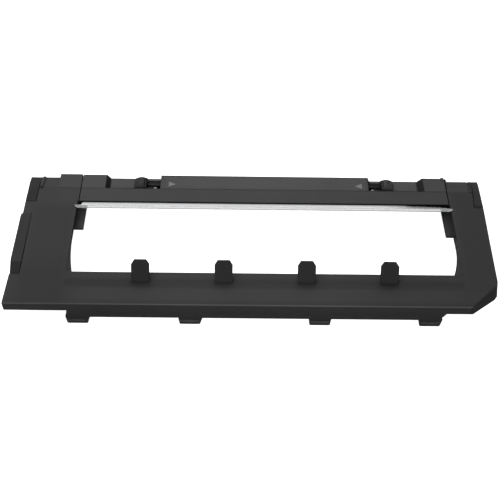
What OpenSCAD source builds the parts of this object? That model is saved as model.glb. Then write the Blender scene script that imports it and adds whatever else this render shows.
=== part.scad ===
// Main-brush cover of a floor-cleaning robot: a moulded frame around the brush
// opening, a rail cover over the rear bed, a clear scraper strip held by a steel
// clamp, and two spring-loaded sliding latches.
//
// Datum used by the modules: X from the middle of the brush opening (left is -X),
// Y from the brush axis (rear is +Y), Z from the outer face (down is -Z).
// place() moves everything so that the origin is the centre of the cover's
// footprint, on the level of the lowest tips.

/* [Frame outline] */
// Left edge, from the middle of the opening
left_edge = 119.2; // [118.8:0.1:122]
// Right edge, from the middle of the opening
right_edge = 109.75; // [109:0.05:112]
// Front edge, from the brush axis
front_edge = 39.2; // [38.8:0.1:41]
// Rear edge, from the brush axis
rear_edge = 42.7; // [42.2:0.1:44]
// Leg of the cut-off front right corner
corner_cut = 14.3; // [13.5:0.1:15]
// Thickness of the side plates and of the front bar at their rims
plate_t = 5.2; // [4.8:0.1:5.5]
// Radius of the rounded front edge
edge_r = 0.9; // [0.5:0.05:1.1]
// Thickness of the moulded skins
skin = 1.6; // [1.4:0.1:2.0]
// Fall of the sloping rear bands
rear_fall = 2.5; // [1.5:0.1:2.6]

/* [Brush opening] */
// Half of the opening's length
open_half = 92.25; // [91.5:0.05:92.8]
// Near edge of the opening, from the brush axis
open_near = 20.6; // [19:0.1:21.5]
// Radius of the arcs at the brush ends
end_arc_r = 43; // [40:1:60]

/* [Guard teeth] */
// Number of guard teeth
tooth_n = 4; // [2:1:5]
// Spacing of the teeth
tooth_pitch = 38.2; // [30:0.05:42]
// Width of a tooth
tooth_w = 8.3; // [5:0.1:12]
// Length of a tooth along its face
tooth_l = 10.0; // [6:0.1:12]
// Lean of a tooth, from the plate
tooth_lean = 55; // [45:1:80]

/* [Front hooks] */
// Width of a hook
hook_w = 9.2; // [6:0.1:12]
// Depth of the hooks' tips below the outer face
hook_depth = 15.4; // [15:0.1:16.2]
// Forward reach of a hook's lip
hook_lip = 0.9; // [0.5:0.1:1.4]

/* [Rail] */
// Near edge of the rail cover, from the brush axis
rail_near = 24.25; // [24:0.05:25]
// Start of the rear band, from the brush axis
crease = 33.0; // [32.5:0.1:33.2]
// Thickness of the rail cover's skin
cover_t = 1.4; // [1.2:0.1:1.6]

/* [Scraper strip] */
// Thickness of the strip's root
strip_t = 0.9; // [0.6:0.1:1.0]
// Tip of the strip, from the brush axis
strip_tip = 19.2; // [19:0.1:19.5]

/* [Latches] */
// Inner end of a latch pocket, from the middle
pocket_in = 52.7; // [50:0.1:54]
// Outer end of a latch pocket, from the middle
pocket_out = 65.85; // [65.8:0.05:66.4]
// Radius of the guide pin
pin_r = 0.8; // [0.6:0.05:0.9]
// Coils of a latch spring
spring_coils = 3; // [2:1:3]

/* [Hidden] */
$fn = 48;

// Front skirt and hooks
skirt_y = -front_edge + 0.5;    // front face of the skirt
skirt_t = 1.7;
skirt_bottom = -10.8;
lip_y = skirt_y - hook_lip;     // front of the hooks' lips
rib_half = 0.7;                 // half thickness of ribs and gussets
// Per hook: middle, widening towards the root on the left, on the right
hooks = [[-86.5, 0.35, 1.4], [-34.8, 0.4, 1.25], [25.3, 0.55, 0.3], [76.35, 1.1, 0.5]];

// Footprint centre
centre_x = (right_edge - left_edge) / 2;
centre_y = (rear_edge + min(lip_y, -front_edge)) / 2;

// Rear bed and rail cover
floor_bottom = -7.6;
floor_top = -6.0;
beam_top = -2.9;                // seat of the strip's root
slope = rear_fall / (rear_edge - crease);
slope_angle = atan(slope);
rail_half = open_half - 0.4;    // half-length of the rail cover
cover_bottom = -4.4;            // foot of the rail cover's rear wall
rear_wall_t = 1.2;
rear_cut = rear_edge + 1;       // rear end of cuts that run out

// Strip clamp and screws
strip_top = beam_top + strip_t;
clamp_t = 0.5;
rail_screw_x = [-84, -28, 28, 84];
rail_screw_y = 37.2;
clamp_screw_x = [-80, -40, 0, 40, 80];
clamp_screw_y = 28.9;

// Latches
pin_y = 35.3;                   // guide pin axis
pin_z = -2.6;
bend_x = 54.9;                  // bend of the guide pin
boss_in = 59.1;                 // inner face of a latch's boss
seat_end = boss_in + 1.5;       // bottom of the spring seat
leg_foot = -12.5;

module place() translate([-centre_x, -centre_y, hook_depth]) children();

// A prism along X with a profile given as [y, z] points
module along_x(x0, x1, pts)
    translate([x0, 0, 0]) rotate([90, 0, 90]) linear_extrude(x1 - x0) polygon(pts);

// The same prism over each [x0, x1] span
module along_x_spans(spans, pts)
    for (span = spans) along_x(span[0], span[1], pts);

// A prism along Y with a profile given as [x, z] points
module along_y(y0, y1, pts)
    translate([0, y1, 0]) rotate([90, 0, 0]) linear_extrude(y1 - y0) polygon(pts);

module box(x0, x1, y0, y1, z0, z1)
    translate([x0, y0, z0]) cube([x1 - x0, y1 - y0, z1 - z0]);

// A box and its mirror image on the left
module box_pair(x0, x1, y0, y1, z0, z1) {
    box(x0, x1, y0, y1, z0, z1);
    box(-x1, -x0, y0, y1, z0, z1);
}

module at_clamp_screws(z) for (x = clamp_screw_x) translate([x, clamp_screw_y, z]) children();
module at_rail_screws(z) for (x = rail_screw_x) translate([x, rail_screw_y, z]) children();

// V grooves along the crease
module crease_grooves(spans)
    along_x_spans(spans, [[crease - 0.3, 0.1], [crease, -0.35], [crease + 0.3, 0.1]]);

// ---------------------------------------------------------------- main frame
// Valley in the front bar, [y, z]: full section, and the tip at its ends
valley = [[-31.5, 0.02], [-30.3, -0.06], [-28.5, -0.27], [-27.1, -0.36],
          [-25.8, -0.32], [-24.5, -0.16], [-23.1, 0.02]];
valley_tip = [[-27.6, 0.06], [-27.1, 0.03], [-26.7, 0.06]];

// Outline of the frame and of its cut corner, [x, y]
corner_pts = [
    [right_edge - corner_cut - 2.55, -front_edge],
    [right_edge - 3.6, -front_edge + corner_cut - 1.7],
    [right_edge - 2.75, -front_edge + corner_cut - 0.6],
    [right_edge - 2.35, -front_edge + corner_cut + 0.8]];
outline_pts = concat(
    [[-left_edge + 0.35, rear_edge], [-left_edge + 0.85, 24.0], [-left_edge + 0.95, 15.6],
     [-left_edge + 0.1, 14.6], [-left_edge, -13.0], [-left_edge + 0.95, -22.6],
     [-left_edge + 0.5, -front_edge]],
    corner_pts,
    [[right_edge - 1.6, 1.3], [right_edge - 0.85, 22.6], [right_edge, rear_edge]]);

wall_top = -plate_t + 1;            // walls below the plates overlap them up to here
hollow_top = -skin - 0.6;           // ceiling of the ribbed hollows
left_hollow_x = -open_half - 5.2;   // inner sides of the side plates' hollows
right_hollow_x = open_half + 4.6;
thin_rib_turn = -5.3;
left_end = -121;                    // cuts on the left start outside the frame here

// Walls at the brush ends: straight at the rear, arched inwards towards the front
arc_steps = 20;
function left_x(y) = open_half + 1.6 - pow(max(0, 6 - y), 2) / (4.2 * end_arc_r);
function right_x(y) = open_half + 1.0 - pow(max(0, 1.5 - y), 2) / (2 * end_arc_r);
function arc_y(i) = -open_near + (rail_near + open_near) * i / arc_steps;

module opening_low()
    polygon(concat([for (i = [0:arc_steps]) [right_x(arc_y(i)), arc_y(i)]],
                   [for (i = [arc_steps:-1:0]) [-left_x(arc_y(i)), arc_y(i)]]));

module opening_high()
    polygon([[-open_half, -open_near], [open_half, -open_near],
             [open_half, rail_near], [-open_half, rail_near]]);

module frame_blank() {
    wall_y = -open_near - skin;
    // plates and front bar
    translate([0, 0, -plate_t]) linear_extrude(plate_t) polygon(outline_pts);
    // cut corner: its face leans out to a wider foot
    hull() {
        translate([0, 0, -0.2]) linear_extrude(0.15)
            polygon(concat([[88, -20], [88, -front_edge]], corner_pts,
                           [[right_edge - 2.3, -20]]));
        translate([0, 0, -plate_t]) linear_extrude(0.4)
            polygon([[88, -20], [88, -front_edge], [right_edge - 15.3, -front_edge],
                     [right_edge - 4.0, -31.0], [right_edge - 2.5, -29.1],
                     [right_edge - 1.8, -25.2], [right_edge - 1.9, -20]]);
    }
    // rear walls of the side plates
    box(-118.5, -91.9, rear_edge - skin, rear_edge, floor_bottom, wall_top);
    box(91.9, right_edge - 0.1, rear_edge - skin, rear_edge, floor_bottom, wall_top);
    // walls at the brush ends
    box(-open_half - 3.6, -open_half + 5.2, wall_y, rear_edge, floor_bottom, wall_top);
    box(open_half - 6.2, open_half + 3.0, -open_near - 1.6, rear_edge, floor_bottom, wall_top);
    // lip along the near edge of the opening
    box(-open_half, open_half, wall_y, -open_near, -6.6, wall_top);
}

// Two by four hollows between thin ribs
module hollow_grid(x0, x1, y0, y1) {
    columns = 2;
    rows = 4;
    rib = 1.2;
    dx = (x1 - x0 - rib * (columns - 1)) / columns;
    dy = (y1 - y0 - rib * (rows - 1)) / rows;
    for (i = [0:columns - 1], j = [0:rows - 1]) {
        x = x0 + i * (dx + rib);
        y = y0 + j * (dy + rib);
        box(x, x + dx, y, y + dy, -plate_t - 1, hollow_top);
    }
}

module frame_hollows() {
    // brush opening: straight at the face, arched towards the brush ends below
    hull() {
        translate([0, 0, -0.5]) linear_extrude(1.5) opening_high();
        translate([0, 0, -4.4]) linear_extrude(0.2) opening_low();
    }
    translate([0, 0, -12]) linear_extrude(8) opening_low();
    // place for the rail cover and the bed below it
    box(-open_half, open_half, rail_near - 0.2, rear_cut, -13, 1);
    // hollows under the plates and the cut corner
    hollow_grid(-116.2, left_hollow_x, -36.8, 30.5);
    hollow_grid(right_hollow_x, 106.0, -23.0, 30.5);
    translate([0, 0, -plate_t - 1]) linear_extrude(plate_t + 1 + hollow_top)
        polygon([[92.2, -36.6], [93.6, -36.6], [104.2, -27.0], [104.2, -24.4], [92.2, -24.4]]);
    // long shallow valley in the front bar, running out at both ends
    along_x(-88, 84, valley);
    hull() {
        along_x(-88.1, -88, valley);
        along_x(-94, -93.9, valley_tip);
    }
    hull() {
        along_x(84, 84.1, valley);
        along_x(92.9, 93, valley_tip);
    }
    // hollows under the rear bands and the front bar
    band_top = -skin - rear_fall + 0.3;
    box(-116.2, left_hollow_x, 32.0, rear_edge - skin, -plate_t - 6, band_top);
    box(right_hollow_x, 106.6, 32.0, rear_edge - skin, -plate_t - 6, band_top);
    box(-open_half - 2, 90.5, -36.4, -open_near - skin, -plate_t - 5, -skin - 0.4);
}

module front_skirt() {
    along_y(skirt_y, skirt_y + skirt_t,
            [[-90.2, wall_top], [83.1, wall_top], [83.1, -plate_t - 0.2], [80.6, -10.0],
             [80.6, skirt_bottom], [-91.5, skirt_bottom], [-90.9, -7.6],
             [-90.2, -plate_t - 0.6]]);
    // ribs that tie the skirt to the bar
    for (x = concat([for (h = hooks) h[0]], [-60, -5, 50]))
        box(x - rib_half, x + rib_half, skirt_y + 1, -open_near - 1, -6.6, -skin);
}

module hook(x, flare_left, flare_right) {
    y = skirt_y;
    w = hook_w / 2;
    lip_top = -hook_depth + 3.0;
    // tapered tongue
    translate([x, 0, 0]) along_y(y, y + skirt_t,
        [[-w - 0.2 - flare_left, skirt_bottom + 0.5], [w + 0.2 + flare_right, skirt_bottom + 0.5],
         [w + 0.2, -hook_depth + 0.25], [w, -hook_depth], [-w, -hook_depth],
         [-w - 0.2, -hook_depth + 0.25]]);
    // lip with a lead-in under it
    along_x(x - w + 0.2, x + w - 0.2,
            [[y + 0.5, lip_top], [lip_y + 0.15, lip_top], [lip_y, lip_top - 0.15],
             [lip_y, lip_top - 1.2], [y - 0.1, -hook_depth], [y + 0.5, -hook_depth]]);
    // gussets behind the skirt and the tongue, top to bottom
    gussets = [
        [[y + 1, skirt_bottom + 1], [y + 6, -6.4], [y + 6, -3], [y + 1, -3]],
        [[y + 1, skirt_bottom + 0.2], [y + 5.5, -6.5], [y + 1, -6.5]],
        [[y + 1.2, -hook_depth + 0.9], [y + 4.4, skirt_bottom + 1.4],
         [y + 1.2, skirt_bottom + 1.4]]];
    for (profile = gussets) along_x(x - rib_half, x + rib_half, profile);
}

module tooth(x) {
    w = tooth_w / 2;
    blade_t = 1.7;
    translate([x, -25.9, 0]) rotate([tooth_lean, 0, 0]) translate([0, 0, -blade_t])
        linear_extrude(blade_t)
            polygon([[-w, -1.8], [w, -1.8], [w, tooth_l - 2.1], [w - 1.4, tooth_l],
                     [-w + 1.4, tooth_l], [-w, tooth_l - 2.1]]);
    // foot at the front and a web behind
    along_x(x - w + 0.1, x + w - 0.1,
            [[-26.35, -0.5], [-26.35, -0.14], [-26.1, 0.1], [-25.85, 0.4], [-25.5, 0.8],
             [-24.9, 0.5], [-24.9, -0.5]]);
    along_x(x - 0.8, x + 0.8,
            [[-25.0, -1], [-21.4, -1], [-21.3, 0.2], [-21.2, 5.2], [-22.8, 3.4], [-25.0, 0.2]]);
}

module rear_bed() {
    bed_half = open_half + 1;
    // front beam with a slanting lower front, and the floor behind it
    along_x(-bed_half, bed_half,
            [[25.5, beam_top], [25.5, -3.6], [29.4, floor_bottom], [rear_edge, floor_bottom],
             [rear_edge, floor_top], [32.4, floor_top], [32.4, beam_top]]);
    // rear wall
    box(-bed_half, bed_half, rear_edge - rear_wall_t, rear_edge, floor_bottom, cover_bottom);
    // cross ribs that carry the rail cover
    for (x = [-70.5, -38, -14, 14, 38, 70.5])
        box(x - rib_half, x + rib_half, 32.0, rear_edge - 1, floor_top - 0.5, -4.8);
    // end stops beside the rail cover
    box_pair(open_half + 0.05, open_half + 1.9, rail_near, rear_edge, floor_bottom, wall_top);
}

module brush_end_ledges() {
    box(-open_half - 2.5, -88.6, 9.4, rail_near + 2, -5.2, -4.0);
    box(88.75, open_half + 2.0, 6.7, rail_near + 2, -5.2, -4.0);
}

// Round rib down the left rear band
module guide_rib()
    translate([-111.9, crease - 0.3, 0.05]) rotate([-90 - slope_angle, 0, 0])
        cylinder(r = 0.9, h = 9.9);

// Thin, slightly turned rib down the right rear band
module thin_rib()
    translate([104.25, crease - 0.3, 0.0]) rotate([0, 0, thin_rib_turn])
        rotate([-90 - slope_angle, 0, 0]) cylinder(r = 0.42, h = 9.8);

// Narrow upright at the inner side of the right rear band
module band_fin() box(92.55, 93.2, crease + 0.4, rear_edge - 0.1, -3, -0.7);

// Everything above a sloping rear band
module band_cut(x0, x1)
    along_x(x0, x1, [[crease, 0], [rear_cut, -slope * (rear_cut - crease)],
                     [rear_cut, 3], [crease, 3]]);

// Slanting area at a rear corner: its floor falls by fall from start_y to the rear edge,
// with a fine groove along its inner side and front. The inner side runs from
// front_x at start_y to rear_x at the rear edge.
module corner_pad(outer_x, front_x, rear_x, start_y, fall) {
    pad_slope = fall / (rear_edge - start_y);
    inward = outer_x < front_x ? 1 : -1;
    x0 = min(outer_x, front_x, rear_x) - 0.6;
    x1 = max(outer_x, front_x, rear_x) + 0.6;
    side_slope = (rear_x - front_x) / (rear_edge - start_y);
    y0 = start_y - 1;
    y1 = rear_edge + 2;
    groove = 0.5;
    groove_x = front_x + inward * groove;
    function pad(y, depth) = [y, -depth - pad_slope * (y - start_y)];
    function side(y, offset) = [front_x + side_slope * (y - start_y) + inward * offset, y];
    intersection() {
        along_x(x0, x1, [pad(start_y, 0.1), pad(rear_cut, 0.1), [rear_cut, 3], [start_y, 3]]);
        translate([0, 0, -12]) linear_extrude(16)
            polygon([[outer_x, y0], side(y0, 0), side(y1, 0), [outer_x, y1]]);
    }
    intersection() {
        along_x(x0, x1, [pad(start_y - groove, 0.6), pad(rear_cut, 0.6),
                         [rear_cut, 3], [start_y - groove, 3]]);
        translate([0, 0, -12]) linear_extrude(16)
            polygon([side(y0, 0), side(y0, groove), side(y1, groove), side(y1, 0)]);
    }
    box(min(outer_x, groove_x), max(outer_x, groove_x), start_y - groove, start_y, -0.6, 3);
}

module frame_body() {
    difference() {
        frame_blank();
        frame_hollows();
    }
    rear_bed();
    brush_end_ledges();
    front_skirt();
    for (h = hooks) hook(h[0], h[1], h[2]);
    for (i = [0:tooth_n - 1]) tooth((i - (tooth_n - 1) / 2) * tooth_pitch - 0.25);
    // pads under the side plates
    box(-112.6, -100.6, -8, 8, -plate_t - 0.6, -skin - 0.4);
    box(99.0, 104.2, -8, 8, -plate_t - 0.6, -skin - 0.4);
    guide_rib();
    thin_rib();
    band_fin();
}

// Cuts that shape the outer face and the edges
module face_cuts() {
    // sloping rear bands; their ribs stay
    difference() {
        band_cut(left_end, -103.5);
        guide_rib();
    }
    difference() {
        band_cut(open_half + 0.1, 111);
        thin_rib();
        band_fin();
    }
    // groove beside the thin rib
    translate([103.55, crease, 0]) rotate([0, 0, thin_rib_turn])
        along_x(-0.22, 0.22, [[-0.9, 0.02], [0.3, -0.38], [10.8, -slope * 10.5 - 0.42],
                              [10.8, 3], [-0.9, 3]]);
    corner_pad(left_end, -113.4, -113.4, 23.9, rear_fall - 1.0);
    corner_pad(113, 104.6, 106.7, 22.6, rear_fall - 0.7);
    // shallow step along the left edge, deeper at its front end, with a groove inside it
    along_x(left_end, -113.9, [[-22.4, -0.4], [-14.6, -0.4], [15.3, -0.02], [15.3, 3], [-22.4, 3]]);
    along_x(left_end, -113.9, [[-22.4, -1.5], [-14.6, -0.4], [-14.6, 3], [-22.4, 3]]);
    along_x(-114.0, -113.5, [[-22.4, -1.5], [-14.6, -1.1], [15.3, -0.15], [15.3, 3], [-22.4, 3]]);
    crease_grooves([[-103.2, -open_half]]);
    // rounded front edge and the fine groove below it
    along_x(-122, 112, concat(
        [[-front_edge - 1, -edge_r]],
        [for (a = [0:11.25:90])
            [-front_edge + edge_r * (1 - cos(a)), -edge_r * (1 - sin(a))]],
        [[-front_edge + edge_r, 1], [-front_edge - 1, 1]]));
    box(-122, right_edge - corner_cut - 3.4, -front_edge - 1, -front_edge + 0.2, -2.0, -1.5);
}

// Openings in the rear bed
module bed_cuts() {
    // latch legs pass through the floor
    box_pair(58.9, 65.5, 34.1, 40.5, -9, -5);
    // guide pin holes
    for (s = [-1, 1]) translate([s * bend_x, pin_y, -9]) cylinder(r = pin_r + 0.05, h = 4);
    at_rail_screws(-9) cylinder(r = 1.3, h = 4);
    at_clamp_screws(-6.9) cylinder(r = 0.85, h = 6);
}

module main_frame() color([0.20, 0.20, 0.21]) place()
    difference() {
        frame_body();
        face_cuts();
        bed_cuts();
    }

// ---------------------------------------------------------------- rail cover
// Profiles [y, z]: front part, then the rear band as sunk field, raised field and solid rib
cover_front = [
    [rail_near, -1.2], [rail_near, -0.3], [rail_near + 0.3, 0], [crease + 0.02, 0],
    [crease + 0.02, -cover_t], [rail_near + 1.5, -cover_t], [rail_near + 0.9, -1.2]];
cover_sunk = [
    [crease, 0], [crease + 0.15, -0.04], [crease + 0.3, -0.2], [crease + 0.6, -rear_fall],
    [rear_edge - 0.3, -rear_fall], [rear_edge, -rear_fall - 0.35], [rear_edge, cover_bottom],
    [rear_edge - rear_wall_t, cover_bottom], [rear_edge - rear_wall_t, -rear_fall - 1.2],
    [crease, -rear_fall - 1.2]];
cover_top = [[crease, 0], [rear_edge - 0.3, 0], [rear_edge, -0.35], [rear_edge, cover_bottom]];
cover_raised = concat(cover_top, [
    [rear_edge - rear_wall_t, cover_bottom], [rear_edge - rear_wall_t, -cover_t],
    [crease, -cover_t]]);
cover_rib = concat(cover_top, [[crease, cover_bottom]]);

// Slanting ends of the raised fields, [x, z]
cover_slants = [
    [[-80.0, 0], [-78.0, -2.9], [-77.7, -2.9], [-77.7, 1], [-80.0, 1]],
    [[81.0, 0], [78.3, -2.9], [77.8, -2.9], [77.8, 1], [81.0, 1]],
    [[52.9, 0], [54.1, -2.9], [54.1, 1], [52.9, 1]]];

module cover_skin() {
    difference() {
        union() {
            along_x(-rail_half, rail_half, cover_front);
            along_x_spans([[-rail_half, -80.4], [-52.4, 53.0], [81.1, rail_half]], cover_raised);
            along_x_spans([[-80.6, -77.7], [52.6, 54.1], [77.8, 81.3]], cover_rib);
            along_x_spans([[-77.9, -52.2], [53.9, 78.0]], cover_sunk);
        }
        for (slant = cover_slants) along_y(crease - 0.01, rear_cut, slant);
    }
    // the sunk profile carried on under the slanting ends
    along_x_spans([[-80.4, -77.5], [77.5, 81.3], [52.9, 54.4]], cover_sunk);
}

// Sunk triangle pointing to +X or, with direction -1, to -X
module arrow(x, direction)
    translate([x, 36.3, -0.25]) linear_extrude(2)
        polygon([[-1.8 * direction, -1.75], [-1.8 * direction, 1.75], [1.9 * direction, 0]]);

module rail_cover() color([0.24, 0.24, 0.25]) place() {
    pocket_front = crease + 0.35;
    pocket_rear = rear_edge - 1.7;
    difference() {
        union() {
            cover_skin();
            // small knob at the right end
            along_x(rail_half - 1.7, rail_half - 0.15,
                    [[41.0, -1], [41.2, 0.35], [41.6, 0.75], [42.2, 0.75],
                     [42.6, 0.35], [42.65, -1]]);
            // screw bosses
            at_rail_screws(floor_top) cylinder(r = 2.4, h = -floor_top - 1.0);
            // front locating ribs, behind the strip clamp
            for (x = [-60, -20, 20, 60]) box(x - 6, x + 6, 32.5, 33.3, -4.0, -1.0);
        }
        crease_grooves([[-rail_half - 1, -80.2], [-52.0, 52.7], [81.2, rail_half + 1]]);
        // latch pockets
        box_pair(pocket_in, pocket_out, pocket_front, pocket_rear, -9, 3);
        // way for the latch tongues under the raised band
        box_pair(46, pocket_out, pocket_front, pocket_rear, -9, -cover_t);
        // screw pilots
        at_rail_screws(floor_top - 1) cylinder(r = 1.05, h = 5.2);
        // reliefs over the clamp screws
        at_clamp_screws(-3) cylinder(r = 1.9, h = 3 - 0.75);
        // direction marks
        arrow(-46.5, 1);
        arrow(47.8, -1);
    }
}

// ------------------------------------------------------------- scraper strip
module clamp_screw_holes() at_clamp_screws(-5) cylinder(r = 1.1, h = 5);

module scraper_strip() color([0.93, 0.94, 0.95], 0.6) place() {
    root_half = 90.4;
    lip_bottom = 0.05;
    lip_top = lip_bottom + strip_t * 0.6;
    difference() {
        union() {
            // root under the clamp, and the free part that rises to the lip
            along_x(-root_half, root_half,
                    [[25.2, beam_top], [32.0, beam_top], [32.0, strip_top], [25.2, strip_top],
                     [21.3, lip_top], [20.9, lip_top], [20.9, lip_bottom],
                     [24.7, beam_top + 0.15]]);
            // lip, with slanted ends that lie on the side plates
            translate([0, 0, lip_bottom]) linear_extrude(lip_top - lip_bottom)
                polygon([[-93.7, 20.75], [-92.1, strip_tip], [91.4, strip_tip],
                         [93.5, strip_tip + 1.3], [93.3, 20.75],
                         [root_half, 21.1], [-root_half, 21.1]]);
        }
        // fine flute along the lip
        along_x(-95, 95, [[strip_tip + 0.86, lip_top + 0.2], [strip_tip + 0.98, lip_top - 0.1],
                          [strip_tip + 1.1, lip_top + 0.2]]);
        clamp_screw_holes();
    }
}

module strip_clamp() color([0.62, 0.63, 0.65]) place()
    difference() {
        box(-88.8, 88.8, 26.2, 31.8, strip_top, strip_top + clamp_t);
        clamp_screw_holes();
    }

// Pan-head screw with a cross slot: head above z = 0, shank below
module screw(shank_r, head_r, head_h, length) {
    slot_w = 0.36;
    difference() {
        rotate_extrude()
            polygon([[0, -length], [shank_r * 0.45, -length], [shank_r, -length + 1.2],
                     [shank_r, 0], [head_r, 0], [head_r, head_h * 0.55],
                     [head_r * 0.8, head_h], [0, head_h]]);
        for (a = [0, 90]) rotate([0, 0, a])
            translate([-head_r * 0.5, -slot_w / 2, head_h * 0.4]) cube([head_r, slot_w, head_h]);
    }
}

module clamp_screws() color([0.72, 0.72, 0.74]) place()
    at_clamp_screws(strip_top + clamp_t)
        screw(shank_r = 0.8, head_r = 1.7, head_h = 0.65, length = 4.2);

module rail_screws() color([0.72, 0.72, 0.74]) place()
    at_rail_screws(floor_bottom) rotate([180, 0, 0])
        screw(shank_r = 1.0, head_r = 2.1, head_h = 1.3, length = 5.6);

// ------------------------------------------------------------------- latches
// Boss with a domed, stepped thumb face, [x, z]
boss_pts = [
    [boss_in, floor_top + 0.15], [65.65, floor_top + 0.15], [65.65, -1.3], [65.2, -0.6],
    [64.3, 0.25], [63.2, 0.9], [62.3, 1.22], [61.5, 1.33], [60.9, 1.2], [60.6, 0.85],
    [60.4, 0.3], [60.15, 0.2], [60.0, 0.5], [59.7, 0.4], [59.35, -0.2], [boss_in, -1.1]];
// Tongue, [y, z]
tongue_pts = [
    [37.5, -5.4], [40.8, -5.4], [40.8, -3.0], [40.3, -2.4], [39.6, -2.15],
    [38.6, -2.15], [37.9, -2.5], [37.5, -3.1]];

// Cylinder on the right-hand guide pin's axis
module on_pin_axis(x0, x1, radius)
    translate([x0, pin_y, pin_z]) rotate([0, 90, 0]) cylinder(r = radius, h = x1 - x0);

// The right-hand latch, pushed towards -X to open
module latch_shape() {
    boss_front = 33.75;
    boss_rear = 40.9;
    leg_front = 34.4;
    leg_rear = 40.2;
    difference() {
        union() {
            along_y(boss_front, boss_rear, boss_pts);
            along_x(51.2, boss_in + 0.5, tongue_pts);
            // leg and nose
            box(62.2, 65.2, leg_front, leg_rear, leg_foot, floor_top + 0.5);
            along_y(leg_front, leg_rear,
                    [[64.9, -8.5], [65.2, -8.5], [67.5, -8.9], [67.5, -10.0],
                     [65.2, leg_foot + 0.3], [64.9, leg_foot + 0.3]]);
        }
        // falling front and rear edges of the boss
        along_x(58, 66, [[boss_front - 1, -0.55], [boss_front, -0.55], [boss_front + 0.55, 0.3],
                         [boss_front + 1.8, 1.4], [boss_front - 1, 2]]);
        along_x(58, 66, [[boss_rear + 1, -0.9], [boss_rear, -0.9], [boss_rear - 0.5, 0.5],
                         [boss_rear - 1.0, 1.4], [boss_rear + 1, 2]]);
        // guide bore and spring seat
        on_pin_axis(boss_in - 1, 65.0, pin_r + 0.05);
        on_pin_axis(boss_in - 1, seat_end, 1.65);
        // thumb dimple
        translate([63.2, 37.6, 1.5]) sphere(r = 0.95);
        // lead-in at the leg's foot
        along_y(33, 42, [[61, leg_foot - 1], [63.0, leg_foot - 1], [62.2, leg_foot + 1.2],
                         [61, leg_foot + 1.2]]);
    }
}

module latch_right() color([0.17, 0.17, 0.18]) place() latch_shape();
module latch_left() color([0.17, 0.17, 0.18]) place() mirror([1, 0, 0]) latch_shape();

// A coil along X whose first and last half turns lie flat; t counts turns
function coil_centre(t, length, radius, turns) =
    [length * max(0, min(1, (t - 0.5) / (turns - 1))), radius * cos(360 * t), radius * sin(360 * t)];

module coil(length, radius, wire_r, turns) {
    steps = 20;     // rings per turn
    sides = 8;      // points per ring
    rings = round(steps * turns);
    points = [for (i = [0:rings], k = [0:sides - 1])
        let (t = i / steps,
             outward = [0, cos(360 * t), sin(360 * t)],
             a = 360 * k / sides)
        coil_centre(t, length, radius, turns)
            + wire_r * cos(a) * outward + [wire_r * sin(a), 0, 0]];
    faces = concat(
        [[for (k = [0:sides - 1]) k]],
        [for (i = [0:rings - 1], k = [0:sides - 1])
            let (next = (k + 1) % sides)
            [i * sides + k, (i + 1) * sides + k, (i + 1) * sides + next, i * sides + next]],
        [[for (k = [sides - 1:-1:0]) rings * sides + k]]);
    polyhedron(points = points, faces = faces, convexity = 6);
}

module spring_shape() {
    start_x = bend_x + 1.2;
    end_gap = 0.4;
    translate([start_x, pin_y, pin_z])
        coil(length = seat_end - end_gap - start_x, radius = 1.25, wire_r = 0.18,
             turns = spring_coils + 1);
}

module spring_right() color([0.5, 0.5, 0.52]) place() spring_shape();
module spring_left() color([0.5, 0.5, 0.52]) place() mirror([1, 0, 0]) spring_shape();

// Bent guide pin: one arm in the latch, the other in the floor
module pin_shape() {
    pin_foot = -7.4;
    on_pin_axis(bend_x, 61.8, pin_r);
    translate([bend_x, pin_y, pin_foot]) cylinder(r = pin_r, h = pin_z - pin_foot);
    translate([bend_x, pin_y, pin_z]) sphere(r = pin_r + 0.2);
}

module guide_pin_right() color([0.8, 0.8, 0.82]) place() pin_shape();
module guide_pin_left() color([0.8, 0.8, 0.82]) place() mirror([1, 0, 0]) pin_shape();

main_frame();
rail_cover();
scraper_strip();
strip_clamp();
clamp_screws();
rail_screws();
latch_left();
latch_right();
spring_left();
spring_right();
guide_pin_left();
guide_pin_right();
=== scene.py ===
# Black plastic cover of a brush opening: a main frame with guard teeth, a rail cover with two
# sprung latches along the rear, and a clear scraper strip held by a steel clamp.
# It lies with its outer face up (+Z) and its length along X; left is -X and the rear is +Y.
import bpy, bmesh, math
from mathutils import Vector, Matrix

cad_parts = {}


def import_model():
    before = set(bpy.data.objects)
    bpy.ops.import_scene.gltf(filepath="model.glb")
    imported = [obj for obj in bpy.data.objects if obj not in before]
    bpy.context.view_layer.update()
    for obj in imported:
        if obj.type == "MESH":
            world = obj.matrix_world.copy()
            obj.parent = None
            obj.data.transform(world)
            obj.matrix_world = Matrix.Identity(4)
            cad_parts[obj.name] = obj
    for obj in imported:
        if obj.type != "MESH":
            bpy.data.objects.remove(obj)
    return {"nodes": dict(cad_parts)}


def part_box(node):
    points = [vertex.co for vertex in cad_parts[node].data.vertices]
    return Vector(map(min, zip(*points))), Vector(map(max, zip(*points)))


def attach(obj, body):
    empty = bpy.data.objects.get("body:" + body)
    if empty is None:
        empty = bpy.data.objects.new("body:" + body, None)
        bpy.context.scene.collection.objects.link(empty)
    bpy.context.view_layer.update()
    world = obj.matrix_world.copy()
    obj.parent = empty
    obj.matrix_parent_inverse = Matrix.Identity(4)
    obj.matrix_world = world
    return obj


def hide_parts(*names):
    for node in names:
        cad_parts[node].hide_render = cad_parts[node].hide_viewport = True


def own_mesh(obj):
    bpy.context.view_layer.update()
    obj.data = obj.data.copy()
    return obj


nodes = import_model()["nodes"]
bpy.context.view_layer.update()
scene = bpy.context.scene
MM = 0.001

# Places that the details are measured from
frame_low, frame_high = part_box("main_frame")
cover_low, cover_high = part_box("rail_cover")
MIDDLE_X = (cover_low[0] + cover_high[0]) / 2   # middle of the opening
REAR_Y = cover_high[1]                          # rear edge
BRUSH_Y = REAR_Y - 42.7 * MM                    # brush axis
FACE_Z = cover_high[2] - 0.75 * MM              # outer face, below the rail cover's right knob


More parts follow.
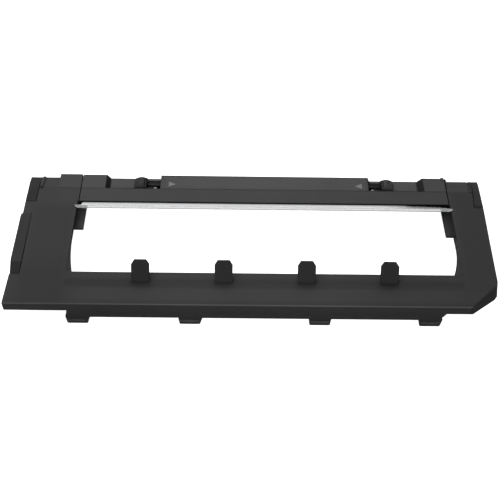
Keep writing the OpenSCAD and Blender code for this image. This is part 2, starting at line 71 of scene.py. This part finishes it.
def place(x, y, z):
    """Point in metres from mm off the middle of the opening, the brush axis and the outer face."""
    return (MIDDLE_X + x * MM, BRUSH_Y + y * MM, None if z is None else FACE_Z + z * MM)


# ------------------------------------------------------------------ shader helpers
class ShaderNet:
    """A new material with an empty node tree, and short ways to add nodes to it."""

    def __init__(self, name):
        self.material = bpy.data.materials.new(name)
        self.material.use_nodes = True
        self.tree = self.material.node_tree
        self.tree.nodes.clear()
        self.output = self.add("OutputMaterial")

    def add(self, kind, **settings):
        node = self.tree.nodes.new("ShaderNode" + kind)
        for key, value in settings.items():
            setattr(node, key, value)
        return node

    def feed(self, socket, value):
        """Link a socket, or set a number or an RGB colour."""
        if isinstance(value, bpy.types.NodeSocket):
            self.tree.links.new(value, socket)
        else:
            socket.default_value = (*value, 1) if isinstance(value, tuple) else value

    def feed_all(self, node, inputs):
        for key, value in inputs.items():
            self.feed(node.inputs[key], value)

    def position(self):
        return self.add("TexCoord").outputs["Object"]

    def split(self, vector):
        node = self.add("SeparateXYZ")
        self.feed(node.inputs[0], vector)
        return node.outputs

    def stretch(self, vector, scale, turn=0.0):
        node = self.add("Mapping")
        node.inputs["Rotation"].default_value = (0, 0, turn)
        node.inputs["Scale"].default_value = scale
        self.feed(node.inputs["Vector"], vector)
        return node.outputs["Vector"]

    def noise(self, vector, scale, detail=2.0, rough=0.5):
        node = self.add("TexNoise")
        self.feed_all(node, {"Scale": scale, "Detail": detail, "Roughness": rough,
                             "Vector": vector})
        return node.outputs["Fac"]

    def remap(self, value, span, to=(0, 1)):
        node = self.add("MapRange")
        self.feed_all(node, {"From Min": span[0], "From Max": span[1],
                             "To Min": to[0], "To Max": to[1], "Value": value})
        return node.outputs["Result"]

    def mix(self, factor, first, second, blend="MIX"):
        node = self.add("Mix", data_type="RGBA", blend_type=blend)
        self.feed_all(node, {0: factor, 6: first, 7: second})
        return node.outputs[2]

    def mix_shader(self, factor, first, second):
        node = self.add("MixShader")
        self.feed_all(node, {0: factor, 1: first, 2: second})
        return node.outputs[0]

    def math(self, operation, *values):
        node = self.add("Math", operation=operation)
        self.feed_all(node, dict(enumerate(values)))
        return node.outputs[0]

    def times(self, first, second):
        return self.math("MULTIPLY", first, second)

    def plus(self, first, second):
        return self.math("ADD", first, second)

    def minus(self, first, second):
        return self.math("SUBTRACT", first, second)

    def gather(self, operation, total, value):
        """Combine a value with a running total that starts as None."""
        return value if total is None else self.math(operation, total, value)

    def bump(self, height, strength, distance, normal=None):
        node = self.add("Bump")
        self.feed_all(node, {"Strength": strength, "Distance": distance, "Height": height})
        if normal is not None:
            self.feed(node.inputs["Normal"], normal)
        return node.outputs["Normal"]

    def finish(self, surface):
        self.feed(self.output.inputs["Surface"], surface)
        return self.material

    def principled(self, inputs):
        node = self.add("BsdfPrincipled")
        self.feed_all(node, inputs)
        return self.finish(node.outputs["BSDF"])


def scaled(color, factor):
    return tuple(c * factor for c in color)


# ------------------------------------------------------------------------- plastic
MAX_Z_SOFT = 0.1    # mm, most softness in height of a tinted box


def box_mask(net, axes, low, high, soft):
    """1 inside a box, fading over soft mm each way; an axis whose corner is None is open."""
    mask = None
    for axis in range(3):
        if low[axis] is None:
            continue
        fade = (soft if axis < 2 else min(soft, MAX_Z_SOFT)) * MM
        rise = net.remap(axes[axis], span=(low[axis] - fade, low[axis] + fade))
        fall = net.remap(axes[axis], span=(high[axis] + fade, high[axis] - fade))
        mask = net.gather("MULTIPLY", mask, net.times(rise, fall))
    return mask


def worn_and_highlit_edges(net, pos, rounded_normal, edge_paling):
    """Mask of paler edges, partly wear and partly a painted highlight, where a rounded normal
    differs from the true one, broken into patches.
    """
    dot = net.add("VectorMath", operation="DOT_PRODUCT")
    net.feed(dot.inputs[0], rounded_normal)
    net.feed(dot.inputs[1], net.add("NewGeometry").outputs["Normal"])
    edge = net.remap(dot.outputs["Value"], span=(0.995, 0.90))
    patch = net.noise(pos, scale=160, detail=3.0, rough=0.6)
    patch = net.remap(patch, span=(0.4, 0.65), to=(0.2, 1))
    return net.times(net.times(edge, patch), edge_paling)


def rub_marks(net, pos):
    """Mask of faint marks, mostly along the length."""
    lines = net.noise(net.stretch(pos, scale=(0.05, 1, 1), turn=0.35), scale=900)
    return net.times(net.remap(lines, span=(0.66, 0.74)),
                     net.remap(net.noise(pos, scale=24), span=(0.5, 0.62)))


def plastic(name, base, rough, texture=1.0, edge_paling=1.0, zones=(), tints=(), edge_mm=0.22,
            specular=0.4):
    """Moulded plastic: spark-eroded grain, flow mottling, rub marks, and paler edges that are
    partly wear, partly a painted highlight.
    zones are (low corner, high corner, soft_mm) with a coarser, darker texture, painted shade in a
    recess;
    tints are (low corner, high corner, soft_mm, factor), darker or paler: mostly painted light and
    shade."""
    net = ShaderNet(name)
    pos = net.position()
    fine_grain = net.noise(pos, scale=4200, detail=3.0, rough=0.6)
    grain = net.noise(pos, scale=1500)
    mottle = net.noise(pos, scale=38, detail=4.0, rough=0.55)
    clouds = net.noise(pos, scale=11)
    bevel = net.add("Bevel", samples=4)
    bevel.inputs["Radius"].default_value = edge_mm * MM
    normal = bevel.outputs["Normal"]
    edge = worn_and_highlit_edges(net, pos, normal, edge_paling)

    color = net.mix(net.remap(mottle, span=(0.35, 0.65)), scaled(base, 0.86), scaled(base, 1.16))
    color = net.mix(net.remap(clouds, span=(0.3, 0.7), to=(0, 0.35)), color, scaled(base, 1.2))
    speckle = net.times(net.remap(fine_grain, span=(0.35, 0.7)), 0.35 * texture)
    color = net.mix(speckle, color, scaled(base, 1.4))
    # paler edges: partly wear, partly a painted highlight
    color = net.mix(net.times(edge, 0.4), color, tuple(c * 2.0 + 0.006 for c in base))

    # roughness varies with mottling and grain; rubbed and worn parts are smoother
    roughness = net.plus(
        net.remap(mottle, span=(0.3, 0.7), to=(rough - 0.035, rough + 0.035)),
        net.remap(fine_grain, span=(0.3, 0.7), to=(-0.04 * texture, 0.04 * texture)))
    roughness = net.minus(roughness, net.times(rub_marks(net, pos), 0.07))
    roughness = net.minus(roughness, net.times(edge, 0.1))

    axes = net.split(pos) if tints or zones else None
    dulling = None      # parts darkened with painted shade also reflect less
    for low, high, soft, factor in tints:
        mask = box_mask(net, axes, low, high, soft)
        tinted = net.mix(1.0, color, (factor, factor, factor), blend="MULTIPLY")
        color = net.mix(mask, color, tinted)
        if factor < 1:
            dulling = net.gather("MAXIMUM", dulling, net.times(mask, 1 - factor))
    if dulling is not None:
        specular = net.times(net.minus(1.0, dulling), specular)

    zone = None
    for low, high, soft in zones:
        zone = net.gather("MAXIMUM", zone, box_mask(net, axes, low, high, soft))
    normal = net.bump(grain, strength=0.22 * texture, distance=0.00012, normal=normal)
    # zones darken and coarsen the texture; in the sunk square at the front left the darkening is
    # painted shade
    if zone is not None:
        color = net.mix(net.times(zone, 0.6), color, scaled(base, 0.45))
        roughness = net.plus(roughness, net.times(zone, 0.12))
        specular = net.times(net.remap(zone, span=(0, 1), to=(1.0, 0.75)), specular)
        cells = net.add("TexVoronoi")
        net.feed_all(cells, {"Scale": 1900, "Vector": pos})
        normal = net.bump(net.times(cells.outputs["Distance"], zone),
                          strength=0.5, distance=0.00012, normal=normal)
    normal = net.bump(fine_grain, strength=0.35 * texture, distance=0.00006, normal=normal)
    return net.principled({"Base Color": color, "Roughness": roughness, "IOR": 1.49,
                           "Specular IOR Level": specular, "Normal": normal})


# ----------------------------------------------------------------- steel and clear
def steel(name, base, rough, brushed=None, darkened_past=None):
    """Steel; brushed scales the grain's axes, and past darkened_past mm from the middle it is
    darker.
    """
    net = ShaderNet(name)
    pos = net.position()
    vector = pos if brushed is None else net.stretch(pos, scale=brushed)
    grain = net.noise(vector, scale=900, detail=3.0, rough=0.6)
    mottle = net.noise(pos, scale=120, detail=3.0)
    color = net.mix(net.remap(mottle, span=(0.35, 0.65)), scaled(base, 0.82), base)
    if darkened_past is not None:
        offset = net.math("ABSOLUTE", net.minus(net.split(pos)[0], MIDDLE_X))
        outer = net.remap(offset, span=((darkened_past - 0.25) * MM, (darkened_past + 0.25) * MM))
        color = net.mix(outer, color, scaled(base, 0.16))
    return net.principled({
        "Metallic": 1.0, "Base Color": color,
        "Roughness": net.remap(grain, span=(0.3, 0.7), to=(rough - 0.07, rough + 0.1)),
        "Normal": net.bump(grain, strength=0.15, distance=0.00003)})


def clear_plastic(name):
    """Clear flexible strip: glossy, slightly milky, with fine flow lines along its length; a
    painted highlight and faint glow on the rising part, painted shade under the cover's nose.
    """
    net = ShaderNet(name)
    pos = net.position()
    along_x = net.stretch(pos, scale=(0.03, 1, 1))
    lines = net.noise(along_x, scale=2600, detail=3.0, rough=0.6)
    waves = net.noise(along_x, scale=500)
    x, y, _ = net.split(pos)
    # the rising part behind the lip is painted white with a faint glow, a painted highlight on
    # milkier plastic, less so towards the right end
    milky_glow = net.times(
        net.remap(y, span=(BRUSH_Y + 20.9 * MM, BRUSH_Y + 21.5 * MM)),
        net.remap(x, span=(MIDDLE_X + 58 * MM, MIDDLE_X + 74 * MM), to=(1, 0)))
    lip = net.mix(net.remap(lines, span=(0.35, 0.65)), (0.66, 0.67, 0.68), (0.82, 0.825, 0.83))
    # shade under the rail cover's nose, wider towards the right end
    along = net.minus(x, MIDDLE_X + 69 * MM)
    depth = net.plus(net.minus(y, BRUSH_Y), net.times(along, 0.11))
    shade = net.times(net.remap(depth, span=(23.9 * MM, 24.4 * MM)),
                      net.remap(along, span=(0, 3 * MM)))
    color = net.mix(shade, net.mix(milky_glow, lip, (0.97, 0.975, 0.98)), (0.03, 0.03, 0.03))
    normal = net.bump(waves, strength=0.35, distance=0.0001)
    normal = net.bump(lines, strength=0.25, distance=0.00005, normal=normal)
    return net.principled({
        "Base Color": color, "IOR": 1.38,
        "Roughness": net.remap(lines, span=(0.3, 0.7), to=(0.08, 0.28)),
        "Transmission Weight": net.remap(milky_glow, span=(0, 1), to=(0.72, 0.1)),
        "Coat Weight": 0.4, "Coat Roughness": 0.08,
        "Emission Color": (1, 1, 1), "Emission Strength": net.times(milky_glow, 0.12),
        "Normal": normal})


# ------------------------------------------------- zones and tints of the plastics
PAST = 0.01     # m, how far the textured zones reach past the outline
FRAME_ZONES = [
    # rear left and rear right corner pads; front left the sunk square, its darker colour painted
    # shade
    ((frame_low[0] - PAST, BRUSH_Y + 24.0 * MM, None),
     (MIDDLE_X - 113.45 * MM, REAR_Y + PAST, None), 0.05),
    ((MIDDLE_X + 104.65 * MM, BRUSH_Y + 22.7 * MM, None),
     (frame_high[0] + PAST, REAR_Y + PAST, None), 0.05),
    ((frame_low[0] - PAST, BRUSH_Y - 22.4 * MM, None),
     (MIDDLE_X - 113.5 * MM, BRUSH_Y - 14.4 * MM, None), 0.5),
]

# Tint rows of mostly painted light and shade, in mm as for place(): x from, x to, y from, y to, z
# from, z to, softness, and the factor on the colour. None leaves the height open.
FRAME_TINTS = [
    # painted light and shade on the ledges beside the brush: left paler, right darker
    (-92.6, -86, 4, 24.3, -12, -1.5, 0.2, 1.15),
    (86, 92.6, 0, 24.3, -12, -1.5, 0.2, 0.88),
    # painted light on the arched flanks of the opening
    (-97, -87, -21, 4, -12, -0.45, 0.12, 2.8),
    (87, 97, -21, 4, -12, -0.45, 0.12, 1.45),
    # painted shade on the guard teeth, then on the face of the cut corner
    (-90, 90, -28, -15, 0.08, 20, 0.03, 0.75),
    (93, 112, -39.35, -20, -8, -0.5, 0.12, 0.68),
    # painted light on the rear bands
    (-125, 92, 33.1, 45, -20, 3, 0.3, 1.4),
    (92, 104.5, 33.1, 45, -20, 3, 0.3, 1.45),
    # painted light on the left block, painted shade on its rear arris
    (-103.2, -92, 21, 45, -20, 3, 1.5, 1.12),
    (-103.4, -92, 42.1, 45, -1.2, 3, 0.12, 0.4),
    # painted light on the bar in front of the valley, painted shade toward the right
    (-86, 90, -36.6, -29.6, None, None, 1.2, 1.1),
    (-48, 46, -37, -29.6, None, None, 14, 1.34),
    (52, 112, -39, -20, -0.7, 0.06, 10, 0.92),
    # painted shade in the valley
    (-92.5, 92, -29.6, -24.6, -0.7, 0.06, 0.9, 0.83),
    (-92, -52, -28.4, -25.6, -0.7, 0.06, 1.1, 0.84),
    # painted shade on the left plate, then on the right plate
    (-113.3, -93, -40, 21, -0.3, 0.06, 3, 0.85),
    (-119, -88, -44, -14, -0.3, 0.06, 7, 0.8),
    (94, 112, -30, 33, -0.3, 0.06, 1, 0.9),
    # painted shade on the sunk step at the left edge
    (-121, -113.6, -14, 15, -1, 0.02, 0.3, 0.8),
    (-121, -113.6, -22.3, -14.4, -2, 0.02, 0.2, 0.85),
    # textured corner pads
    (104.9, 114, 22.8, 44, -6, -0.25, 0.2, 2),
    (-121, -113.6, 24.1, 44, -6, -0.05, 0.2, 1.22),
    # paler line along the bottom of the hooks, painted shade along the front edge, painted
    # highlight on its rounded arris
    (-95, 90, -39.9, -38.5, -12.6, -12.25, 0.06, 2.6),
    (-125, 112, -42, -36.8, -0.06, 3, 0.9, 0.9),
    (-125, 94.5, -42, -38.45, -0.52, -0.1, 0.07, 3),
]
# soft shade at the feet of the guard teeth
TOOTH_COUNT, TOOTH_PITCH, TOOTH_SHIFT = 4, 38.2, -0.25
for index in range(TOOTH_COUNT):
    x = (index - (TOOTH_COUNT - 1) / 2) * TOOTH_PITCH + TOOTH_SHIFT
    FRAME_TINTS += [
        (x - 4.3, x + 4.3, -27.3, -25.2, -1, 0.12, 0.4, 0.68),
        (x - 5.4, x + 5.4, -28.4, -25, -1, 0.12, 1.3, 0.87),
        (x - 4.4, x + 4.4, -26.5, -25.3, -0.3, 0.85, 0.15, 0.72),
    ]

COVER_TINTS = [
    # painted light on the raised fields and flats
    (-93, 93, 33.3, 44, None, None, 0.1, 1.3),
    (-50, 51, 33.3, 44, None, None, 1, 1.2),
    (-77.6, -53, 33.4, 44, None, None, 0.2, 1.15),
    (54.4, 77.6, 33.4, 44, None, None, 0.2, 1.42),
    # painted light on the tops of the walls behind the pockets
    (-59.6, -52.4, 41, 42.25, -2.6, -2.3, 0.05, 1.5),
    (54.2, 59.8, 41, 42.25, -2.6, -2.3, 0.05, 1.45),
    # painted light and shade on the lower band: middle paler, right darker
    (-46, 40, 24.6, 32.7, None, None, 22, 1.1),
    (60, 104, 24.6, 32.7, None, None, 16, 0.86),
    # painted shade on the nose over the strip
    (-93, 93, 20, 24.32, -3, -0.18, 0.03, 0.15),
    # painted shade on the slanting ends of the raised fields
    (-80.15, -77.9, 33.4, 44, -2.6, -0.02, 0.12, 0.3),
    (78, 81.2, 33.4, 44, -2.6, -0.02, 0.12, 0.35),
    # painted shade along the rear arris
    (-93, -78, 42.05, 44, -1.2, 3, 0.12, 0.4),
    (-52.6, 10, 41.95, 44, -1.2, 3, 0.12, 0.3),
    (10, 53, 42.05, 44, -1.2, 3, 0.12, 0.42),
    (80.8, 93, 42.2, 44, -1.2, 3, 0.12, 0.6),
    (-78, -52.6, 42.3, 44, -5, 3, 0.1, 0.75),
    (53, 78, 42.3, 44, -5, 3, 0.1, 0.75),
]
LATCH_TINTS = [
    # tongues in the shade of the pockets
    (-59.2, 59.2, 38.55, 42, -8, -1.7, 0.1, 0.3),
    (-59.2, 59.2, 37, 37.9, -8, -1.7, 0.1, 0.3),
    (-59.2, 59.2, 37.9, 38.5, -8, -1.7, 0.1, 0.75),
    # painted shade on the falling rear and front edges of the bosses
    (-66, -59, 40.35, 41.2, -1.5, 3, 0.12, 0.4),
    (-66, -59, 33.4, 34.55, -2, 3, 0.15, 0.65),
    (59, 66, 40.35, 41.2, -1.5, 3, 0.12, 0.4),
    (59, 66, 33.4, 34.55, -2, 3, 0.15, 0.65),
    # painted shade on the top of the left boss, painted light on the right one
    (-66, -60, 34.5, 40.6, 0, 3, 0.3, 0.88),
    (60, 66, 34.5, 40.6, 0, 3, 0.3, 1.7),
    # painted shade on the inner ends, then on the outer ends
    (-60.2, -58.9, 33, 42, -7, 0.42, 0.1, 0.55),
    (58.9, 60.2, 33, 42, -7, 0.42, 0.1, 0.55),
    (-66, -65.35, 33, 42, -7, 0.3, 0.1, 0.45),
    (65.35, 66, 33, 42, -7, 0.3, 0.1, 0.45),
]


def tint_boxes(rows):
    return [(place(x0, y0, z0), place(x1, y1, z1), soft, factor)
            for x0, x1, y0, y1, z0, z1, soft, factor in rows]


# ----------------------------------------------------------------------- materials
MATERIALS = {
    "frame": plastic("frame_black", base=(0.0225, 0.0225, 0.023), rough=0.56, specular=0.32,
                     zones=FRAME_ZONES, tints=tint_boxes(FRAME_TINTS)),
    "cover": plastic("cover_black", base=(0.034, 0.034, 0.0347), rough=0.54, specular=0.32,
                     texture=0.7, tints=tint_boxes(COVER_TINTS)),
    "latch": plastic("latch_black", base=(0.0175, 0.0175, 0.0179), rough=0.46,
                     texture=0.4, edge_paling=1.2, tints=tint_boxes(LATCH_TINTS)),
    "clear": clear_plastic("strip_clear"),
    "clamp": steel("clamp_steel", base=(0.56, 0.57, 0.58), rough=0.3, brushed=(0.05, 1, 1)),
    "screw": steel("screw_zinc", base=(0.6, 0.6, 0.61), rough=0.32),
    "spring": steel("spring_wire", base=(0.05, 0.05, 0.052), rough=0.5),
    "pin": steel("pin_steel", base=(0.30, 0.30, 0.305), rough=0.38, darkened_past=56.2),
    "mark": plastic("mark_grey", base=(0.17, 0.17, 0.172), rough=0.55, texture=0.8, edge_paling=0.0,
                    edge_mm=0.05),
}
# CAD piece: material, and width in mm of its rounded edges (0 for square, None for untouched)
PIECES = {
    "main_frame": ("frame", 0.13), "rail_cover": ("cover", 0.12),
    "latch_left": ("latch", 0.15), "latch_right": ("latch", 0.15),
    "scraper_strip": ("clear", 0.05), "strip_clamp": ("clamp", 0.06),
    "clamp_screws": ("screw", 0.05), "rail_screws": ("screw", 0.06),
    "guide_pin_left": ("pin", 0), "guide_pin_right": ("pin", 0),
    "spring_left": ("spring", None), "spring_right": ("spring", None),
}
for name, piece in nodes.items():
    piece.data.materials.clear()
    piece.data.materials.append(MATERIALS[PIECES[name][0]])


# ------------------------------------------------------------ rounded moulded edges
def smooth_by_angle(degrees):
    """Faces smooth, edges sharper than the angle kept sharp, imported normals dropped."""
    group = bpy.data.node_groups.new("smooth_by_angle", "GeometryNodeTree")
    for direction in ("INPUT", "OUTPUT"):
        group.interface.new_socket("Geometry", in_out=direction,
                                   socket_type="NodeSocketGeometry")
    add, link = group.nodes.new, group.links.new
    source, result = add("NodeGroupInput"), add("NodeGroupOutput")
    drop = add("GeometryNodeRemoveAttribute")
    drop.inputs["Name"].default_value = "custom_normal"
    faces = add("GeometryNodeSetShadeSmooth")
    faces.domain = "FACE"
    faces.inputs["Shade Smooth"].default_value = True
    angle = add("GeometryNodeInputMeshEdgeAngle")
    sharper = add("ShaderNodeMath")
    sharper.operation = "GREATER_THAN"
    sharper.inputs[1].default_value = math.radians(degrees)
    edges = add("GeometryNodeSetShadeSmooth")
    edges.domain = "EDGE"
    edges.inputs["Shade Smooth"].default_value = False
    chain = (source, drop, faces, edges, result)
    for before, after in zip(chain, chain[1:]):
        link(before.outputs[0], after.inputs[0])
    link(angle.outputs["Unsigned Angle"], sharper.inputs[0])
    link(sharper.outputs[0], edges.inputs["Selection"])
    return group


def round_edges(piece, width_mm, smoothing):
    weld = piece.modifiers.new("weld", "WELD")
    weld.merge_threshold = 2e-6
    if width_mm:
        bevel = piece.modifiers.new("edges", "BEVEL")
        bevel.width = width_mm * MM
        bevel.segments = 3
        bevel.limit_method = "ANGLE"
        bevel.angle_limit = math.radians(32)
        bevel.use_clamp_overlap = False
        bevel.miter_outer = "MITER_ARC"
    piece.modifiers.new("smooth", "NODES").node_group = smoothing
    normals = piece.modifiers.new("normals", "WEIGHTED_NORMAL")
    normals.mode = "FACE_AREA"
    normals.weight = 100
    normals.keep_sharp = True


smoothing = smooth_by_angle(36)
for name, (_, width_mm) in PIECES.items():
    if width_mm is not None:
        round_edges(nodes[name], width_mm, smoothing)


# --------------------------------------------------------------- springs and marks
def add_object(name, mesh, material):
    mesh.materials.append(material)
    item = bpy.data.objects.new(name, mesh)
    scene.collection.objects.link(item)
    return item


def add_frame_part(name, mesh, material):
    part = add_object(name, mesh, material)
    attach(part, "frame")
    return part


WIRE_RADIUS = 0.18 * MM
TURNS = 4.0
STEPS_PER_TURN = 56
WIRE_SIDES = 14
END_TURN = 0.55             # closed part of a turn at each end


def coil_mesh(name, start_x, end_x, center_y, center_z, radius):
    steps = int(STEPS_PER_TURN * TURNS)
    verts, faces = [], []
    for i in range(steps + 1):
        turn = i / steps * TURNS
        rise = min(1.0, max(0.0, (turn - END_TURN) / (TURNS - 2 * END_TURN)))
        rise = rise * rise * (3 - 2 * rise) * 0.25 + rise * 0.75    # eased near the ends
        x = start_x + (end_x - start_x) * rise
        angle = 2 * math.pi * turn
        for j in range(WIRE_SIDES):
            around = 2 * math.pi * j / WIRE_SIDES
            r = radius + WIRE_RADIUS * math.cos(around)
            verts.append((x + WIRE_RADIUS * math.sin(around),
                          center_y + r * math.cos(angle), center_z + r * math.sin(angle)))
    for i in range(steps):
        ring, following = i * WIRE_SIDES, (i + 1) * WIRE_SIDES
        for j in range(WIRE_SIDES):
            k = (j + 1) % WIRE_SIDES
            faces.append((ring + j, following + j, following + k, ring + k))
    faces.append(tuple(range(WIRE_SIDES)))
    faces.append(tuple(steps * WIRE_SIDES + j for j in reversed(range(WIRE_SIDES))))
    mesh = bpy.data.meshes.new(name)
    mesh.from_pydata(verts, [], faces)
    bm = bmesh.new()
    bm.from_mesh(mesh)
    bmesh.ops.recalc_face_normals(bm, faces=bm.faces)
    bm.to_mesh(mesh)
    bm.free()
    mesh.polygons.foreach_set("use_smooth", [True] * len(mesh.polygons))
    return mesh


def spring(side):
    """Round-wire compression spring in place of the CAD coil, anchored at its inner end."""
    node = "spring_" + side
    low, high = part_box(node)
    center_y, center_z = (low[1] + high[1]) / 2, (low[2] + high[2]) / 2
    start_x, end_x = low[0] + WIRE_RADIUS, high[0] - WIRE_RADIUS
    if side == "left":
        start_x, end_x = end_x, start_x
    mesh = coil_mesh(node + "_wire", start_x, end_x, center_y, center_z,
                     radius=(high[1] - low[1]) / 2 - WIRE_RADIUS)
    part = add_frame_part(node + "_wire", mesh, MATERIALS["spring"])
    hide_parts(node)
    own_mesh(part)


def arrow_mark(name, x, direction):
    """Light triangle set flush into its sunk bed on the rail cover; direction is +1 or -1 in x."""
    outline = [(-1.78 * direction, -1.8), (-1.78 * direction, 1.8), (1.9 * direction, 0.0)]
    center_x, center_y, bottom_z = place(x, 36.3, -0.24)
    top_z = FACE_Z + 0.02 * MM
    bm = bmesh.new()
    bottom, top = [[bm.verts.new((center_x + px * MM, center_y + py * MM, z))
                    for px, py in outline] for z in (bottom_z, top_z)]
    bm.faces.new(bottom)
    bm.faces.new(top)
    for i in range(3):
        j = (i + 1) % 3
        bm.faces.new((bottom[i], bottom[j], top[j], top[i]))
    bmesh.ops.recalc_face_normals(bm, faces=bm.faces)
    upright = [e for e in bm.edges if abs(e.verts[0].co.z - e.verts[1].co.z) > 1e-5]
    bmesh.ops.bevel(bm, geom=upright, offset=0.18 * MM, segments=4, affect="EDGES", profile=0.5)
    rim = [e for e in bm.edges if all(v.co.z > top_z - 1e-6 for v in e.verts)]
    bmesh.ops.bevel(bm, geom=rim, offset=0.05 * MM, segments=2, affect="EDGES", profile=0.5)
    mesh = bpy.data.meshes.new(name)
    bm.to_mesh(mesh)
    bm.free()
    add_frame_part(name, mesh, MATERIALS["mark"])


spring("left")
spring("right")
arrow_mark("arrow_left", x=-46.5, direction=1)
arrow_mark("arrow_right", x=47.8, direction=-1)


# ------------------------------------------------------------ floor, light, camera
def floor_material():
    """Glowing white when seen directly or through the strip, mid grey for all other rays."""
    net = ShaderNet("floor_white")
    white, grey = net.add("BsdfDiffuse"), net.add("BsdfDiffuse")
    net.feed(white.inputs["Color"], (0.9, 0.9, 0.9))
    net.feed(grey.inputs["Color"], (0.45, 0.45, 0.45))
    glow = net.add("Emission")
    glow.inputs["Strength"].default_value = 0.95
    bright = net.add("AddShader")
    net.feed_all(bright, {0: white.outputs[0], 1: glow.outputs[0]})
    rays = net.add("LightPath").outputs
    seen = net.math("MAXIMUM", rays["Is Camera Ray"], rays["Is Transmission Ray"])
    above = net.mix_shader(seen, grey.outputs[0], bright.outputs[0])
    # seen from below, the floor is left out, so that the underside shows
    backfacing = net.add("NewGeometry").outputs["Backfacing"]
    below = net.times(backfacing, rays["Is Camera Ray"])
    return net.finish(net.mix_shader(below, above, net.add("BsdfTransparent").outputs[0]))


def add_floor(half_size, z):
    mesh = bpy.data.meshes.new("floor")
    corners = [(-1, -1), (1, -1), (1, 1), (-1, 1)]
    mesh.from_pydata([(x * half_size, y * half_size, z) for x, y in corners], [], [(0, 1, 2, 3)])
    add_object("floor", mesh, floor_material())


def area_light(name, location, target, size, power):
    light = bpy.data.lights.new(name, "AREA")
    light.shape = "RECTANGLE"
    light.size, light.size_y = size
    light.energy = power
    lamp = bpy.data.objects.new(name, light)
    lamp.location = location
    lamp.rotation_mode = "QUATERNION"
    aim = Vector(target) - Vector(location)
    lamp.rotation_quaternion = aim.to_track_quat("-Z", "Y")
    scene.collection.objects.link(lamp)


def add_camera(location, right, up, back):
    """Camera whose own x, y and z axes are right, up and back."""
    data = bpy.data.cameras.new("cam")
    data.lens = 61.632
    data.sensor_width = 36.0
    data.clip_start = 0.01
    data.clip_end = 50
    camera = bpy.data.objects.new("cam", data)
    scene.collection.objects.link(camera)
    turn = Matrix((right, up, back)).transposed().to_4x4()
    camera.matrix_world = Matrix.Translation(Vector(location)) @ turn
    scene.camera = camera


add_floor(half_size=3.0, z=-0.0004)

world = bpy.data.worlds.new("studio")
world.use_nodes = True
background = world.node_tree.nodes["Background"]
background.inputs["Color"].default_value = (1, 1, 1, 1)
background.inputs["Strength"].default_value = 0.35
scene.world = world

area_light("rear", location=(-0.22, 0.75, 0.85), target=(0, 0, 0), size=(1.6, 0.9), power=5.0)
area_light("top", location=(-0.55, -0.15, 0.9), target=(-0.05, 0, 0), size=(0.9, 0.5), power=4.0)
area_light("front", location=(0.05, -0.80, 0.56), target=(0, 0, 0), size=(1.3, 0.12), power=2.0)
add_camera(location=place(-12.31, -267.286, 310.614),
           right=(0.999864468, 0.0000209415373, 0.0164634770),
           up=(-0.0105985634, 0.766044221, 0.642700491),
           back=(-0.0125982923, -0.642787874, 0.765940619))
scene.view_settings.view_transform = "Standard"
